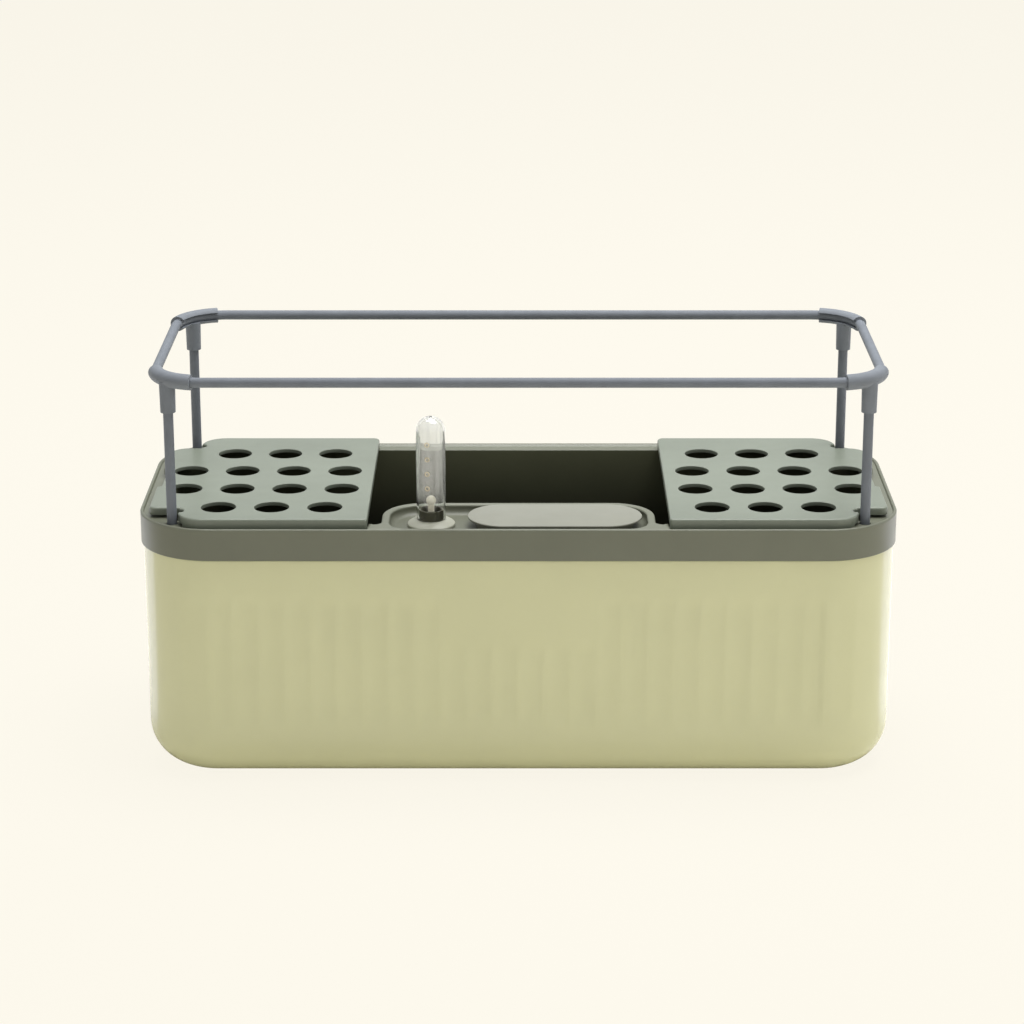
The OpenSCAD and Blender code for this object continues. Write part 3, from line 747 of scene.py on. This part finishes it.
dressedPieces = {
    "cupLeft": {"node": "wick_cup_left", "body": "insert", "slot": "wick_cup", "finish": "cupPlastic",
                "round": 0.0005},
    "cupRight": {"node": "wick_cup_right", "body": "insert", "slot": "wick_cup", "finish": "cupPlastic",
                 "round": 0.0005},
    "fillLid": {"node": "fill_lid", "body": "lid", "slot": "lid", "finish": "lidPlastic", "round": 0.0004},
    "gaugeFlange": {"node": "gauge_flange", "body": "gauge", "slot": "lid", "finish": "trayPlastic",
                    "round": 0.0004},
    "gaugeCollar": {"node": "gauge_collar", "body": "gauge", "slot": "collar", "finish": "collarPlastic",
                    "round": 0.0003},
    "sightTube": {"node": "sight_tube", "body": "gauge", "slot": "clear_tube", "finish": "clearTube",
                  "round": 0.0002},
    "floatGuide": {"node": "float_guide", "body": "gauge", "slot": "guide", "finish": "guidePlastic",
                   "round": 0.0003},
    "floatBody": {"node": "float", "body": "level_float", "slot": "float", "finish": "creamPlastic",
                  "round": 0.0008},
    "floatStem": {"node": "float_stem", "body": "level_float", "slot": "float", "finish": "creamPlastic",
                  "round": 0.0003},
    "trellisRing": {"node": "trellis_ring", "body": "trellis", "slot": "trellis_tube", "finish": "coatedTube",
                    "round": 0},
}
for corner in ("front_left", "front_right", "back_left", "back_right"):
    plain = corner.title().replace("_", "")
    dressedPieces["post" + plain] = {"node": "post_" + corner, "body": "trellis", "slot": "trellis_tube",
                                     "finish": "coatedTube", "round": 0.0004}
    dressedPieces["clip" + plain] = {"node": "clip_" + corner, "body": "trellis", "slot": "clip",
                                     "finish": "clipPlastic", "round": 0.0005}

for name, plan in dressedPieces.items():
    piece = copyNode(plan["node"], name)
    cleanFlats(piece)
    if plan["round"]:
        softenSharp(piece, plan["round"])
    smoothEdges(piece)
    finishPiece(piece, plan["body"], finishes[plan["finish"]], [plan["node"]])
print("dressed", len(dressedPieces), "pieces")


# level marks moulded on the sight tube

markForm = {"axis": (-0.0457, -0.0571), "tubeRadius": 0.0077, "side": -0.00175, "first": 0.1588, "step": 0.0079,
            "count": 4, "ring": 0.00105, "wire": 0.00032, "ringSteps": 40, "wireSteps": 16}

deselectAll()
swing = math.asin(markForm["side"] / markForm["tubeRadius"])
marks = []
for i in range(markForm["count"]):
    place = (markForm["axis"][0] + markForm["side"],
             markForm["axis"][1] - markForm["tubeRadius"] * math.cos(swing),
             markForm["first"] + i * markForm["step"])
    bpy.ops.mesh.primitive_torus_add(location=place, rotation=(math.pi / 2, 0, swing),
                                     major_radius=markForm["ring"], minor_radius=markForm["wire"],
                                     major_segments=markForm["ringSteps"], minor_segments=markForm["wireSteps"])
    applyPlace()
    marks.append(bpy.context.object)
joinAll(marks)
marks[0].name = "levelMarks"
bpy.ops.object.shade_smooth()
finishPiece(marks[0], "gauge", finishes["markPlastic"], [])
print("level marks set")


# floor and light

# shineFoot: where the glow at the tub's ends starts from; shineTurn: degrees round from there and share of sideShine
studio = {"backdrop": (0.983, 0.947, 0.847), "floorSize": 26, "floorPlace": (0, 1.5, -0.0002),
          "floorTint": (1, 0.97, 0.88), "floorLit": 0.62, "paleShare": 0.94, "floorBounce": 0.9, "floorMirror": 0.8,
          "floorGlow": 0.2, "skyTint": (1, 0.985, 0.95, 1), "skyFill": 0.45, "glossTint": (0.97, 1, 0.99, 1),
          "skyGloss": 0.9, "sideShine": 1.5, "sideTint": (0.68, 0.72, 1.0), "shineFoot": (0.19, 0.05),
          "shineNear": (0.03, 0.11),
          "shineTurn": ((0, 0), (20, 0), (25, 1), (40, 0.62), (54, 0.31), (70, 0.12), (80, 0.06), (90, 0.05))}

lamps = {"keyLamp": {"place": (0.25, 0.3, 1.6), "aim": (0, 0, 0.1), "size": (1.6, 1.2), "power": 50},
         "fillLamp": {"place": (1.1, -1.5, 0.8), "aim": (0, 0, 0.08), "size": (1.2, 1.0), "power": 37},
         "edgeLampLeft": {"place": (-1.35, 0.75, 0.6), "aim": (0, 0, 0.1), "size": (1.0, 0.8), "power": 4},
         "edgeLampRight": {"place": (1.35, 0.75, 0.6), "aim": (0, 0, 0.1), "size": (1.0, 0.8), "power": 4}}


def tinted(level, tint=studio["floorTint"]):
    return (*(level * c for c in tint), 1)


def showByRay(nt, outKind, plain, mirror, pale):
    # light meets the plain shade, reflections the mirror one, the camera and what is seen through clear walls the pale
    link = nt.links.new
    path = addNode(nt, "LightPath")
    through = addNode(nt, "Math", operation="MAXIMUM")
    mirrored = addNode(nt, "MixShader")
    seen = addNode(nt, "MixShader")
    out = addNode(nt, outKind)
    link(path.outputs["Is Camera Ray"], through.inputs[0])
    link(path.outputs["Is Transmission Ray"], through.inputs[1])
    link(path.outputs["Is Glossy Ray"], mirrored.inputs["Fac"])
    link(plain.outputs[0], mirrored.inputs[1])
    link(mirror.outputs[0], mirrored.inputs[2])
    link(through.outputs[0], seen.inputs["Fac"])
    link(mirrored.outputs[0], seen.inputs[1])
    link(pale.outputs[0], seen.inputs[2])
    link(seen.outputs[0], out.inputs["Surface"])


def addBoth(nt, one, other):
    both = addNode(nt, "AddShader")
    nt.links.new(one.outputs[0], both.inputs[0])
    nt.links.new(other.outputs[0], both.inputs[1])
    return both


def sideGlow(nt):
    # soft glow beside the tub's ends, by direction round its front corners and clear of its foot
    link = nt.links.new
    coord = addNode(nt, "TexCoord")
    split = addNode(nt, "SeparateXYZ")
    across = addNode(nt, "Math", operation="ABSOLUTE")
    fromEnd = addNode(nt, "Math", {1: studio["shineFoot"][0]}, "SUBTRACT")
    fromFront = addNode(nt, "Math", {1: studio["shineFoot"][1]}, "ADD")
    turn = addNode(nt, "Math", operation="ARCTAN2")
    share = addNode(nt, "MapRange", {"From Max": math.pi / 2})
    bright = addNode(nt, "ValToRGB")
    spots = bright.color_ramp.elements
    for i in range(len(studio["shineTurn"]) - 2):
        spots.new((i + 1) / 10)
    for spot, (degrees, level) in zip(spots, studio["shineTurn"]):
        spot.position = degrees / 90
        spot.color = tinted(level, studio["sideTint"])
    flatPlace = addNode(nt, "CombineXYZ")
    apart = addNode(nt, "VectorMath", operation="LENGTH")
    clearOf = addNode(nt, "MapRange", {"From Min": studio["shineNear"][0], "From Max": studio["shineNear"][1],
                                       "To Max": studio["sideShine"]})
    clearOf.interpolation_type = "SMOOTHSTEP"
    beside = addNode(nt, "Emission")
    link(coord.outputs["Object"], split.inputs["Vector"])
    link(split.outputs["X"], across.inputs[0])
    link(across.outputs["Value"], fromEnd.inputs[0])
    link(split.outputs["Y"], fromFront.inputs[0])
    link(fromFront.outputs["Value"], turn.inputs[0])
    link(fromEnd.outputs["Value"], turn.inputs[1])
    link(turn.outputs["Value"], share.inputs["Value"])
    link(share.outputs["Result"], bright.inputs["Fac"])
    link(bright.outputs["Color"], beside.inputs["Color"])
    link(fromEnd.outputs["Value"], flatPlace.inputs["X"])
    link(fromFront.outputs["Value"], flatPlace.inputs["Y"])
    link(flatPlace.outputs["Vector"], apart.inputs[0])
    link(apart.outputs["Value"], clearOf.inputs["Value"])
    link(clearOf.outputs["Result"], beside.inputs["Strength"])
    return beside


def floorFinish():
    mat = bpy.data.materials.new("paleFloor")
    mat.use_nodes = True
    nt = mat.node_tree
    nt.nodes.clear()
    bounce = addNode(nt, "BsdfDiffuse", {"Color": tinted(studio["floorBounce"])})
    upward = addNode(nt, "Emission", {"Color": tinted(1), "Strength": studio["floorGlow"]})
    shine = addNode(nt, "BsdfDiffuse", {"Color": tinted(studio["floorMirror"])})
    lit = addNode(nt, "BsdfDiffuse", {"Color": tinted(studio["floorLit"])})
    glow = addNode(nt, "Emission", {"Color": (*studio["backdrop"], 1), "Strength": 1})
    pale = addNode(nt, "MixShader", {"Fac": studio["paleShare"]})  # what is left keeps the shadow
    nt.links.new(lit.outputs[0], pale.inputs[1])
    nt.links.new(glow.outputs[0], pale.inputs[2])
    showByRay(nt, "OutputMaterial", addBoth(nt, bounce, upward), addBoth(nt, shine, sideGlow(nt)), pale)
    return mat


def lightWorld():
    world = bpy.data.worlds.new("studioWorld")
    scene.world = world
    world.use_nodes = True
    nt = world.node_tree
    nt.nodes.clear()
    sky = addNode(nt, "Background", {"Color": studio["skyTint"], "Strength": studio["skyFill"]})
    shine = addNode(nt, "Background", {"Color": studio["glossTint"], "Strength": studio["skyGloss"]})
    back = addNode(nt, "Background", {"Color": (*studio["backdrop"], 1), "Strength": 1})
    showByRay(nt, "OutputWorld", sky, shine, back)


def softLamp(name, plan):
    bpy.ops.object.light_add(type="AREA", location=plan["place"])
    lamp = bpy.context.object
    lamp.name = name
    lamp.data.shape = "RECTANGLE"
    lamp.data.size, lamp.data.size_y = plan["size"]
    lamp.data.energy = plan["power"]
    lamp.visible_camera = False
    dx, dy, dz = (plan["aim"][i] - plan["place"][i] for i in range(3))
    lamp.rotation_euler = (math.atan2(math.hypot(dx, dy), -dz), 0, math.atan2(dx, -dy))


deselectAll()
bpy.ops.mesh.primitive_plane_add(size=studio["floorSize"], location=studio["floorPlace"])
floor = bpy.context.object
floor.name = "paleFloor"
applyPlace()
floor.data.materials.append(floorFinish())
lightWorld()
for name, plan in lamps.items():
    softLamp(name, plan)
print("studio lit")
